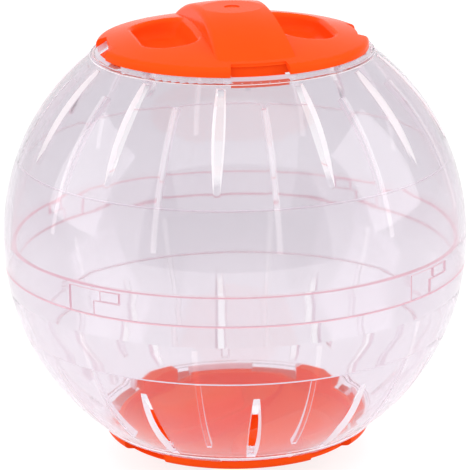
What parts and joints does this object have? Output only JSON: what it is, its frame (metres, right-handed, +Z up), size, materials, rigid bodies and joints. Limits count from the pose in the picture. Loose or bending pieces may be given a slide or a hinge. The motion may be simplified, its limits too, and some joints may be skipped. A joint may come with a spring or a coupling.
{
  "type": "hamster ball",
  "caption": "Clear plastic exercise ball for a small pet, in two vented halves that twist together, with a domed grip lid at each pole.",
  "frame": {"origin": "centre of the ball", "axes": "+Z up through the centres of both lids, -Y to the front, +X to the right"},
  "size_m": [0.145, 0.145, 0.1452],
  "materials": {
    "clear_plastic": "clear, polished",
    "orange_plastic": "glossy"
  },
  "bodies": {
    "lower_half": {"lower_shell": "clear_plastic"},
    "upper_half": {"upper_shell": "clear_plastic"},
    "upper_lid": {"top_lid": "orange_plastic"},
    "lower_lid": {"bottom_lid": "orange_plastic"}
  },
  "joints": [
    {"name": "halves_turn", "type": "hinge", "parent": "lower_half", "child": "upper_half", "pos_m": [0, 0, 0], "axis": [0, 0, 1], "range_deg": [0, 8.1]},
    {"name": "upper_lid_lift", "type": "slide", "parent": "upper_half", "child": "upper_lid", "axis": [0, 0, 1], "range_m": [0, 0.08]},
    {"name": "lower_lid_turn", "type": "hinge", "parent": "lower_half", "child": "lower_lid", "pos_m": [0, 0, -0.06], "axis": [0, 0, -1], "range_deg": [0, 37]}
  ]
}
